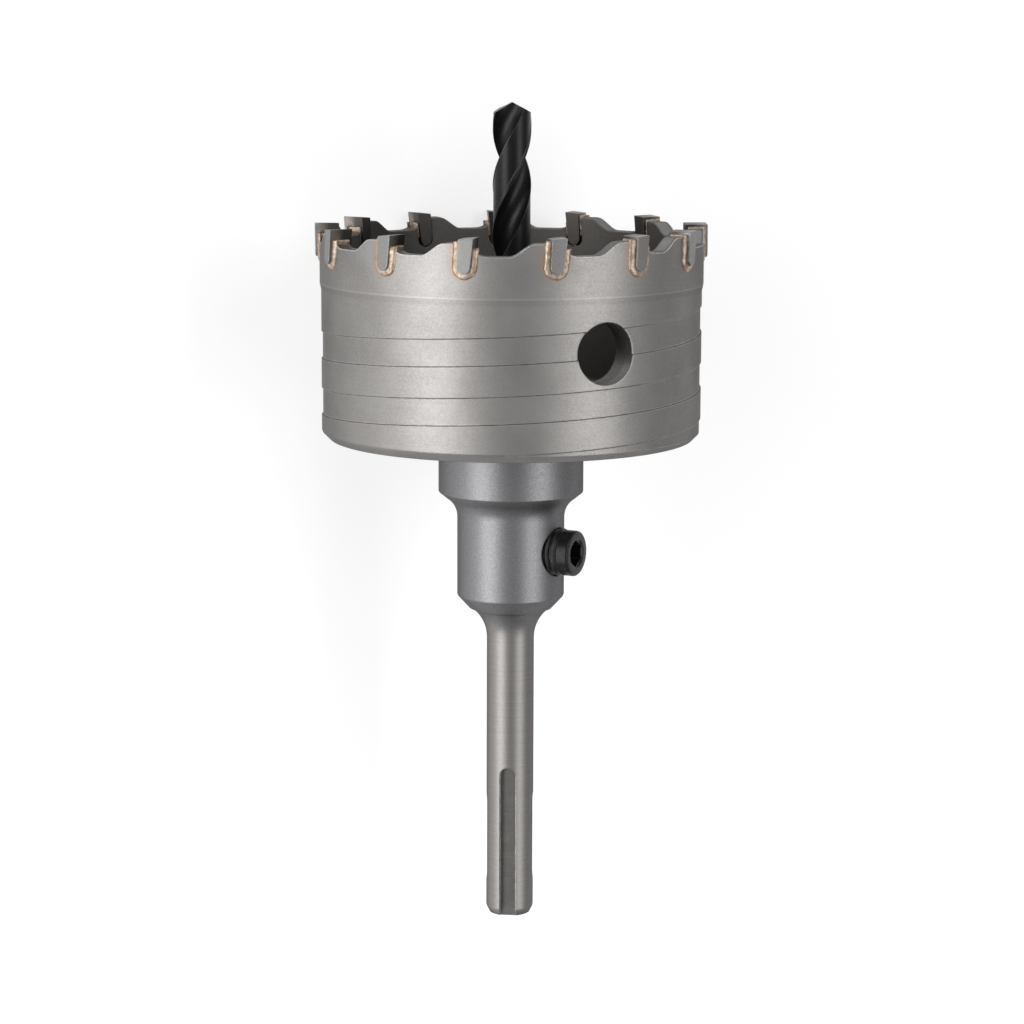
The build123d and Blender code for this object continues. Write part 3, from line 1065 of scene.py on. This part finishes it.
drill = {
    "radius": 4.0,
    "shankEdge": 0.4,
    "shankSteps": 96,
    "overlap": 0.05,  # of the plain shank into the fluted part
    "length": 100.0,
    "tip": 69.8,
    "pitch": 44.0,
    "fluted": 54.0,
    "fluteRadius": 3.18,
    "web": 1.6,
    "waist": 58.4,  # height where the flutes face sideways in the photo
    "margin": 9.0,  # degrees of the land that touch the hole
    "marginStep": 1.0,
    "landEdge": 1.5,
    "relief": 0.12,
    "windSteps": 150,
    "pointSlope": 29.0,
    "chiselTurn": 7.0,
    "flat": 3.6,
    "flatWidth": 9.6,
    "flatHalf": 6,
    "cutReach": 8,
    "cutTop": 6,
}


def fluteSection():
    radius, bow = drill["radius"], drill["fluteRadius"]
    middle = drill["web"] / 2 + bow
    cosine = (radius ** 2 + middle ** 2 - bow ** 2) / (2 * radius * middle)
    half = math.degrees(math.acos(cosine))
    bend = math.degrees(math.atan2(radius * math.sin(math.radians(half)), radius * cosine - middle))
    points = []
    for side in (0, 180):
        hollowPoints = arcPoints((middle, 0), bow, 360 - bend, bend, 18)
        landEnd = 180 - half - drill["margin"] - drill["marginStep"]
        relieved = arcPoints((0, 0), radius - drill["relief"], half + drill["landEdge"], landEnd, 12)
        margin = arcPoints((0, 0), radius, 180 - half - drill["margin"], 180 - half, 3)[:-1]
        turn = math.radians(side)
        for x, y in hollowPoints + relieved + margin:
            away = x * math.cos(turn) - y * math.sin(turn)
            ahead = x * math.sin(turn) + y * math.cos(turn)
            points.append((ahead, 0, away))
    return points


def makeDrill():
    start = drill["tip"] - drill["fluted"]
    startTurn = 90 - (drill["waist"] - start) / drill["pitch"] * 360
    body = drawLine("drill", fluteSection())
    windUp(body, drill["fluted"] / drill["pitch"], drill["fluted"], 1, drill["windSteps"])
    turned = Matrix.Rotation(math.radians(startTurn + photoTurn), 4, "Y")
    putAt(body, Matrix.Translation((0, cupBottom + start * 0.001, 0)) @ turned)
    radius, edge = drill["radius"], drill["shankEdge"]
    end, top = drill["tip"] - drill["length"], start + drill["overlap"]
    corners = [(0.0, end), (radius - edge, end), (radius, end + edge), (radius, top), (0.0, top)]
    plain = spinProfile("plainShank", corners, drill["shankSteps"], False)
    combine(body, [putAt(plain, Matrix.Translation((0, cupBottom, 0)))], "UNION")
    cutters = []
    reach, above = drill["cutReach"], drill["cutTop"]
    drop = reach * math.tan(math.radians(drill["pointSlope"]))
    for side in (1, -1):
        corners = [(0, 0), (side * reach, -drop), (side * reach, above), (0, above)]
        flank = drawBar("flank", corners, -reach, reach)
        cutters.append(putAt(flank, facing(drill["chiselTurn"], drill["tip"])))
    half, across = drill["flatHalf"], drill["flatWidth"] / 2
    corners = [(-half, -across), (half, -across), (half, across), (-half, across)]
    flat = drawBar("flat", corners, drill["flat"], reach)
    cutters.append(putAt(flat, facing(stem["screwTurn"], stem["screwHeight"])))
    combine(body, cutters)
    finishPiece(body, blackSteel, "black_steel", "pilot_drill", angle=32)


makeDrill()
print("pilot drill ready")


# set screw: thread in the hub, plain collar outside, hexagon socket

screw = {
    "radius": 4.8,
    "steps": 72,
    "threadRadius": 5.05,
    "threadRoot": 0.35,  # below the plain radius
    "threadTop": 12.4,  # distances from the tool's axis
    "reach": 15.7,
    "seat": 3.6,
    "footEdge": 0.8,
    "firstCrest": 1.0,
    "crestHalf": 0.1,
    "collarEdge": 0.2,
    "pitch": 1.25,
    "rounding": 0.55,
    "hexagon": 5.0,
    "hexDepth": 4.5,
    "hexOut": 2,
    "socketEdge": 0.25,
    "socketDrop": 0.35,
}


def makeScrew():
    radius, reach, seat, thread = screw["radius"], screw["reach"], screw["seat"], screw["threadRadius"]
    root, half, edge = radius - screw["threadRoot"], screw["crestHalf"], screw["socketEdge"]
    profile = [(0.0, seat), (radius - screw["footEdge"], seat)]
    crest = seat + screw["firstCrest"]
    while crest < screw["threadTop"]:
        profile += [(root, crest - screw["pitch"] / 2), (thread, crest - half), (thread, crest + half)]
        crest += screw["pitch"]
    profile += [(root, crest - screw["pitch"] / 2), (radius, crest - screw["collarEdge"])]
    centre = (radius - screw["rounding"], reach - screw["rounding"])
    profile += arcPoints(centre, screw["rounding"], 0, 90, 5)
    socket, drop = screw["hexagon"] / math.sqrt(3), reach - screw["socketDrop"]
    profile += [(socket + edge, reach), (socket - edge, drop), (0.0, drop)]
    body = spinProfile("screw", profile, screw["steps"], False, "Z")
    putAt(body, facing(stem["screwTurn"], stem["screwHeight"]))
    hexagon = roundBar("hexagon", stem["screwTurn"], stem["screwHeight"], socket,
                       reach - screw["hexDepth"], reach + screw["hexOut"], 6)
    combine(body, [hexagon])
    finishPiece(body, blackSteel, "black_steel", "set_screw", angle=35)


makeScrew()
print("set screw ready")


# floor and light

studio = {
    "floorSize": 4.0,
    "floorColour": (0.40, 0.40, 0.40),
    "floorRoughness": 0.9,
    "floorLift": 0.64,
    "world": 0.3,
    "lightMiddle": -0.01,  # from the underside of the cup, along the tool
    "leftTurn": -47.0,
    "rightTurn": 48.0,
    "lightDistance": 0.75,
    "lightLength": 1.3,
    "leftWidth": 0.44,
    "rightWidth": 0.32,
    "leftPower": 7.3,
    "rightPower": 4.4,
}


def makeFloor():
    bpy.ops.object.select_all(action="DESELECT")
    bpy.ops.mesh.primitive_plane_add(size=studio["floorSize"], location=(0, cupBottom, cadBox[0][2]))
    floor = bpy.context.object
    floor.name = "floor"
    material, tree, shader = newTree("white floor")
    shader.inputs["Base Color"].default_value = (*studio["floorColour"], 1)
    shader.inputs["Roughness"].default_value = studio["floorRoughness"]
    shader.inputs["Specular IOR Level"].default_value = 0.0
    rays = addNode(tree, "ShaderNodeLightPath")
    seen = mathOf(tree, "MAXIMUM", rays.outputs["Is Camera Ray"],
                 mathOf(tree, "MAXIMUM", rays.outputs["Is Glossy Ray"], rays.outputs["Is Transmission Ray"]))
    shader.inputs["Emission Color"].default_value = (1, 1, 1, 1)
    tree.links.new(mathOf(tree, "MULTIPLY", seen, studio["floorLift"]), shader.inputs["Emission Strength"])
    floor.data.materials.append(material)


def makeWorld():
    world = bpy.data.worlds.new("studio")
    world.use_nodes = True
    scene.world = world
    background = world.node_tree.nodes["Background"]
    background.inputs["Color"].default_value = (1, 1, 1, 1)
    background.inputs["Strength"].default_value = studio["world"]


def makeLight(name, turn, width, power):
    middle = Vector((0, cupBottom + studio["lightMiddle"], 0))
    away = awayFromAxis(turn)
    lamp = bpy.data.lights.new(name, "AREA")
    lamp.shape = "RECTANGLE"
    lamp.size = width
    lamp.size_y = studio["lightLength"]
    lamp.energy = power
    light = bpy.data.objects.new(name, lamp)
    scene.collection.objects.link(light)
    along = Vector((0, 1, 0))
    side = along.cross(away)
    turned = Matrix((side, along, away)).transposed().to_4x4()
    light.matrix_world = Matrix.Translation(middle + away * studio["lightDistance"]) @ turned


makeFloor()
makeWorld()
makeLight("left softbox", studio["leftTurn"], studio["leftWidth"], studio["leftPower"])
makeLight("right softbox", studio["rightTurn"], studio["rightWidth"], studio["rightPower"])
print("studio ready")


# camera where the photograph was taken

view = {
    "aim": 0.08696,
    "aside": 0.00025,
    "distance": 0.675,
    "pitch": 9.35,
    "roll": 0.2,
    "lens": 112.5,
    "sensor": 36,
    "nearest": 0.01,
}


def makeCamera():
    data = bpy.data.cameras.new("camera")
    data.lens = view["lens"]
    data.sensor_width = view["sensor"]
    data.clip_start = view["nearest"]
    camera = bpy.data.objects.new("camera", data)
    scene.collection.objects.link(camera)
    pitch = math.radians(view["pitch"])
    front = awayFromAxis(0)
    along = Vector((0, 1, 0))
    back = front * math.cos(pitch) + along * math.sin(pitch)
    up = along * math.cos(pitch) - front * math.sin(pitch)
    side = up.cross(back)
    turned = Matrix((side, up, back)).transposed().to_4x4()
    turned = turned @ Matrix.Rotation(math.radians(view["roll"]), 4, "Z")
    spot = Vector((0, view["aim"], 0)) + side * view["aside"] + back * view["distance"]
    camera.matrix_world = Matrix.Translation(spot) @ turned
    scene.camera = camera


makeCamera()
scene.view_settings.view_transform = "Standard"
print("camera set")
